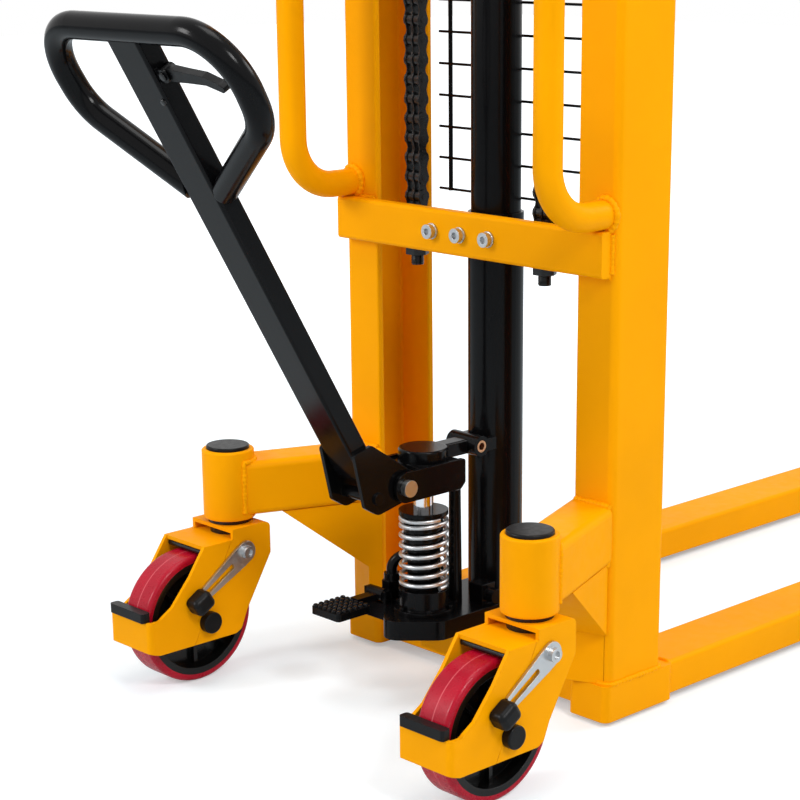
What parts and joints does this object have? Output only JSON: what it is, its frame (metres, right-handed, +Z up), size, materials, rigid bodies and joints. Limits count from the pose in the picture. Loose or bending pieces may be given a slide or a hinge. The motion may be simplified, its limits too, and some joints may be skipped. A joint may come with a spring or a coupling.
{
  "type": "hand pallet stacker",
  "caption": "Hand-pumped pallet stacker: channel mast on fork-over legs, chain-raised forks, sprung pump with tiller and pedal, braked swivel casters",
  "frame": {"origin": "on the floor under the middle of the overall box", "axes": "+Z up, +Y from the operator towards the fork tips, +X to the right of an operator facing the forks"},
  "size_m": [0.712, 1.788, 1.98],
  "materials": {
    "yellow_paint": "gloss",
    "black_enamel": "gloss",
    "black_moulding": "satin",
    "chain_steel": "satin",
    "bright_steel": "satin",
    "chrome_rod": "polished",
    "roller_steel": "satin",
    "bush_brass": "satin",
    "roller_plastic": "satin",
    "red_tyre": "satin",
    "wheel_iron": "satin"
  },
  "bodies": {
    "chassis": {"mast_left": "yellow_paint", "mast_right": "yellow_paint", "mast_cross_bars": "yellow_paint", "crossbar_screws": "bright_steel", "push_handles": "yellow_paint", "base_frame": "yellow_paint", "support_legs": "yellow_paint", "caster_arms": "yellow_paint", "arm_gussets": "yellow_paint", "caster_housings": "yellow_paint", "housing_caps": "black_moulding", "mesh_guard": "black_enamel", "pump_base": "black_enamel", "pump_barrel": "black_enamel", "oil_reservoir": "black_enamel", "lift_cylinder": "black_enamel", "oil_pipe": "black_enamel", "chain_anchors": "chain_steel", "rocker_pin": "bush_brass", "chain_rear": "chain_steel", "pump_spring": "bright_steel"},
    "ram": {"ram_rod": "chrome_rod", "crosshead": "black_enamel", "chain_wrap": "chain_steel", "chain_front": "chain_steel"},
    "chain_sheaves": {"sheaves": "roller_steel"},
    "carriage": {"carriage_frame": "yellow_paint", "load_fork_left": "yellow_paint", "load_fork_right": "yellow_paint", "roller_pins": "bright_steel"},
    "upper_rollers": {"carriage_rollers_upper": "roller_steel"},
    "lower_rollers": {"carriage_rollers_lower": "roller_steel"},
    "left_leg_roller": {"leg_roller_left": "roller_plastic"},
    "right_leg_roller": {"leg_roller_right": "roller_plastic"},
    "pump_handle": {"tiller_tube": "black_enamel", "tiller_grip": "black_enamel", "rocker": "black_enamel", "rocker_bolt": "bright_steel"},
    "trigger": {"finger_lever": "black_moulding"},
    "pump_plunger": {"plunger": "chrome_rod", "spring_collar": "black_enamel"},
    "pedal": {"release_pedal": "black_enamel"},
    "left_caster": {"caster_left_fork": "yellow_paint", "caster_left_brake_frame": "yellow_paint", "caster_left_stem": "chain_steel", "caster_left_axle": "chain_steel", "caster_left_pads": "black_moulding"},
    "left_wheel": {"caster_left_tyre": "red_tyre", "caster_left_hub": "wheel_iron"},
    "left_brake": {"caster_left_brake_lever": "bright_steel", "caster_left_brake_knob": "black_moulding"},
    "right_caster": {"caster_right_fork": "yellow_paint", "caster_right_brake_frame": "yellow_paint", "caster_right_stem": "chain_steel", "caster_right_axle": "chain_steel", "caster_right_pads": "black_moulding"},
    "right_wheel": {"caster_right_tyre": "red_tyre", "caster_right_hub": "wheel_iron"},
    "right_brake": {"caster_right_brake_lever": "bright_steel", "caster_right_brake_knob": "black_moulding"}
  },
  "joints": [
    {"name": "lift", "type": "slide", "parent": "chassis", "child": "ram", "axis": [0, 0, 1], "range_m": [-0.506, 0.25], "deforming": ["chain_rear"]},
    {"name": "carriage_slide", "type": "slide", "parent": "ram", "child": "carriage", "axis": [0, 0, 1], "range_m": [-0.506, 0.25], "deforming": ["chain_front"]},
    {"name": "sheave_turn", "type": "hinge", "parent": "ram", "child": "chain_sheaves", "pos_m": [0, -0.303, 1.636], "axis": [1, 0, 0], "continuous": true},
    {"name": "upper_roller_turn", "type": "hinge", "parent": "carriage", "child": "upper_rollers", "pos_m": [0, -0.2935, 1.44], "axis": [1, 0, 0], "continuous": true},
    {"name": "lower_roller_turn", "type": "hinge", "parent": "carriage", "child": "lower_rollers", "pos_m": [0, -0.2935, 1.128], "axis": [1, 0, 0], "continuous": true},
    {"name": "left_leg_roller_turn", "type": "hinge", "parent": "chassis", "child": "left_leg_roller", "pos_m": [-0.2005, 0.819, 0.036], "axis": [1, 0, 0], "continuous": true},
    {"name": "right_leg_roller_turn", "type": "hinge", "parent": "chassis", "child": "right_leg_roller", "pos_m": [0.2005, 0.819, 0.036], "axis": [1, 0, 0], "continuous": true},
    {"name": "pump_stroke", "type": "hinge", "parent": "chassis", "child": "pump_handle", "pos_m": [0, -0.356, 0.339], "axis": [1, 0, 0], "range_deg": [0, 21], "stiffness_Nm_per_rad": 120, "springref_deg": -20.05},
    {"name": "plunger_stroke", "type": "slide", "parent": "chassis", "child": "pump_plunger", "axis": [0, 0, 1], "range_m": [-0.034, 0], "deforming": ["pump_spring"]},
    {"name": "trigger_squeeze", "type": "hinge", "parent": "pump_handle", "child": "trigger", "pos_m": [0.037, -0.851, 0.85156], "axis": [0, -0.866, -0.5], "range_deg": [0, 12], "stiffness_Nm_per_rad": 1.5, "springref_deg": -17.19},
    {"name": "pedal_press", "type": "hinge", "parent": "chassis", "child": "pedal", "pos_m": [-0.072, -0.456, 0.134], "axis": [1, 0, 0], "range_deg": [0, 15], "stiffness_Nm_per_rad": 5, "springref_deg": -11.46},
    {"name": "left_swivel", "type": "hinge", "parent": "chassis", "child": "left_caster", "pos_m": [-0.288, -0.536, 0.26], "axis": [0, 0, 1], "continuous": true},
    {"name": "left_wheel_turn", "type": "hinge", "parent": "left_caster", "child": "left_wheel", "pos_m": [-0.288, -0.614, 0.09], "axis": [1, 0, 0], "continuous": true},
    {"name": "left_brake_lift", "type": "hinge", "parent": "left_caster", "child": "left_brake", "pos_m": [-0.24, -0.548, 0.176], "axis": [1, 0, 0], "range_deg": [-40, 0]},
    {"name": "right_swivel", "type": "hinge", "parent": "chassis", "child": "right_caster", "pos_m": [0.288, -0.536, 0.26], "axis": [0, 0, 1], "continuous": true},
    {"name": "right_wheel_turn", "type": "hinge", "parent": "right_caster", "child": "right_wheel", "pos_m": [0.288, -0.614, 0.09], "axis": [1, 0, 0], "continuous": true},
    {"name": "right_brake_lift", "type": "hinge", "parent": "right_caster", "child": "right_brake", "pos_m": [0.336, -0.548, 0.176], "axis": [1, 0, 0], "range_deg": [-40, 0]}
  ],
  "couplings": [
    {"joint": "carriage_slide", "follows": "lift", "ratio": 1},
    {"joint": "sheave_turn", "follows": "lift", "rad_per_m": 32.258},
    {"joint": "upper_roller_turn", "follows": "lift", "rad_per_m": -47.619},
    {"joint": "lower_roller_turn", "follows": "lift", "rad_per_m": 47.619},
    {"joint": "plunger_stroke", "follows": "pump_stroke", "m_per_rad": -0.0925}
  ]
}
